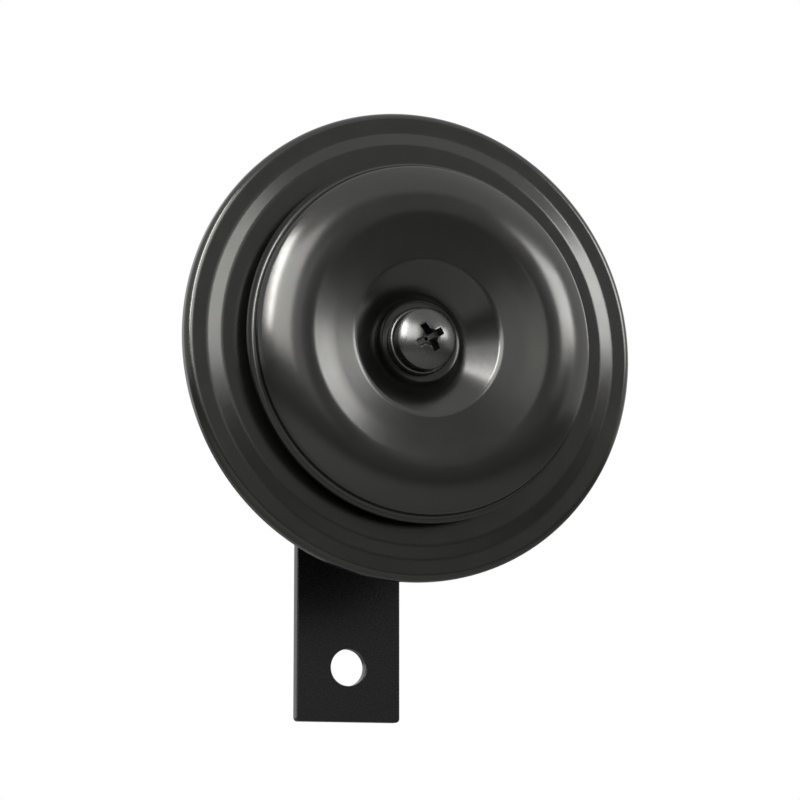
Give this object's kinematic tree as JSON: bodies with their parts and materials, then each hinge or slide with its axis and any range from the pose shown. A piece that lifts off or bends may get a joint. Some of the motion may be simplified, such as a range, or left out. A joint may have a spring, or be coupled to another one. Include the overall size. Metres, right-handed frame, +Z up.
{
  "type": "electric disc horn",
  "caption": "Round electric disc horn for a vehicle: dished tone disc held by a cross-recess screw, hemmed diaphragm rim, drawn can and a flat strip bracket with a bolt hole.",
  "frame": {"origin": "centre of the bracket's bolt hole on the bracket's rear face", "axes": "+Y along the bolt hole, out of the rear face; +Z up from the bolt hole to the horn; the sound leaves along -Y"},
  "size_m": [0.0922, 0.0605, 0.1173],
  "materials": {
    "black_enamel": "semi-gloss black stoved enamel",
    "bracket_coat": "dull black coat on flat steel strip",
    "dark_zinc": "black zinc plate",
    "zinc_steel": "clear zinc plate",
    "fibre": "dark fibre sheet",
    "laminate": "brown phenolic laminate",
    "nylon": "natural nylon",
    "copper": "enamelled copper wire",
    "brass": "tinned brass",
    "spring_strip": "spring steel strip",
    "contact_metal": "tungsten"
  },
  "bodies": {
    "horn_body": {"housing": "black_enamel", "rim_gasket": "fibre", "diaphragm": "black_enamel", "fixed_core": "zinc_steel", "core_washer": "zinc_steel", "core_nut": "zinc_steel", "coil_bobbin": "nylon", "coil_winding": "copper", "yoke_plate": "zinc_steel", "breaker_base_insulator": "laminate", "breaker_middle_insulator": "laminate", "breaker_top_insulator": "laminate", "fixed_contact_strip": "spring_strip", "fixed_contact": "contact_metal", "rivet_sleeves": "laminate", "breaker_rivets": "zinc_steel", "adjusting_screw": "zinc_steel", "adjusting_lock_nut": "zinc_steel", "terminal_insulator": "laminate", "terminal_inner_insulator": "laminate", "left_terminal": "brass", "right_terminal": "brass", "terminal_rivets": "brass", "mounting_bracket": "bracket_coat", "bracket_lock_washer": "zinc_steel", "bracket_nut": "zinc_steel"},
    "vibrator": {"armature": "zinc_steel", "rear_clamp_washer": "zinc_steel", "tone_disc_spacer": "zinc_steel", "tone_disc": "black_enamel", "screw_washer": "dark_zinc", "screw_spring_washer": "dark_zinc", "centre_screw": "dark_zinc"},
    "contact_lever": {"contact_arm": "spring_strip", "moving_contact": "contact_metal", "arm_pusher": "laminate"}
  },
  "joints": [
    {"name": "vibrator_slide", "type": "slide", "parent": "horn_body", "child": "vibrator", "axis": [0, 1, 0], "range_m": [0, 0.0008], "stiffness_N_per_m": 20000, "deforming": ["diaphragm"]},
    {"name": "contact_arm_flex", "type": "hinge", "parent": "horn_body", "child": "contact_lever", "pos_m": [0.017, -0.0315, 0.04821], "axis": [-1, 0, 0], "range_deg": [0, 4], "deforming": ["contact_arm"]}
  ],
  "couplings": [
    {"joint": "contact_arm_flex", "follows": "vibrator_slide", "rad_per_m": 83.333}
  ]
}
